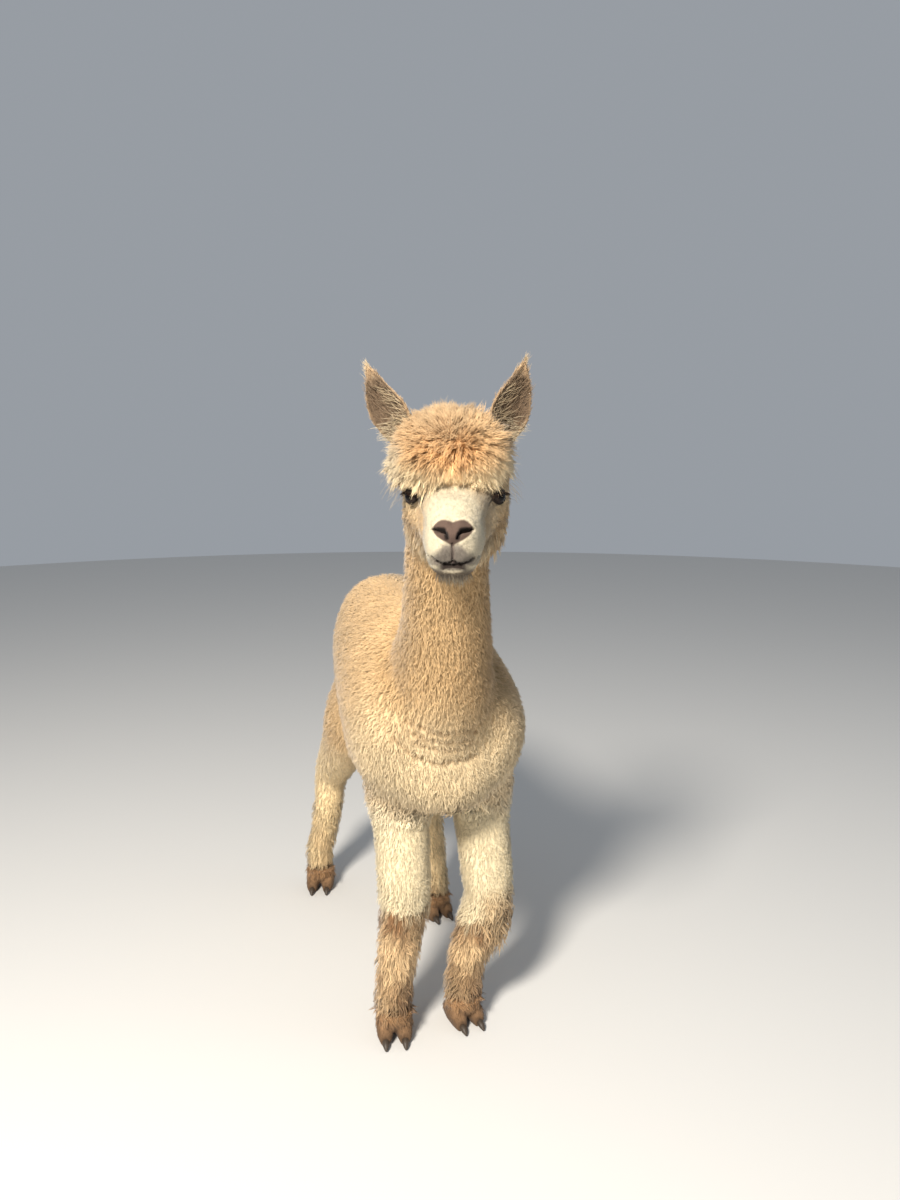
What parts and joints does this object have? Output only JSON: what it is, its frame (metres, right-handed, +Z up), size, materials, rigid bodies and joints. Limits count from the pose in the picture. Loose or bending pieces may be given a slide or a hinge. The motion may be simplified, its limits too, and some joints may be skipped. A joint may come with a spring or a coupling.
{
  "type": "alpaca life-size model",
  "caption": "Life-size standing alpaca with upright neck, woolly crown, raised ears, short tail, thick wool legs and two-toed feet, posed still.",
  "frame": {"origin": "on the ground, under the middle of the whole animal's box", "axes": "+Z is up, -Y is the way the animal faces, +X is its left side"},
  "size_m": [0.4202, 1.2494, 1.4453],
  "materials": {
    "fleece": "matt dense plush wool, pale cream to light tan",
    "crown": "matt golden tan wool in loose locks",
    "face": "short soft off-white hair",
    "legs": "matt crimped wool, muddy below the knees",
    "ears": "fine short brown-grey hair",
    "pads": "dull dark skin with clinging mud",
    "nails": "dark horn with a slight sheen",
    "eyes": "wet dark gloss"
  },
  "bodies": {
    "root": {"trunk": "fleece", "neck": "fleece", "tail": "fleece", "topknot": "crown", "head": "face", "ear_left": "ears", "ear_right": "ears", "eye_left": "eyes", "eye_right": "eyes", "front_leg_left": "legs", "front_leg_right": "legs", "hind_leg_left": "legs", "hind_leg_right": "legs", "foot_front_left": "pads", "foot_front_right": "pads", "foot_hind_left": "pads", "foot_hind_right": "pads", "nail_front_left_inner": "nails", "nail_front_left_outer": "nails", "nail_front_right_inner": "nails", "nail_front_right_outer": "nails", "nail_hind_left_inner": "nails", "nail_hind_left_outer": "nails", "nail_hind_right_inner": "nails", "nail_hind_right_outer": "nails"}
  },
  "joints": []
}
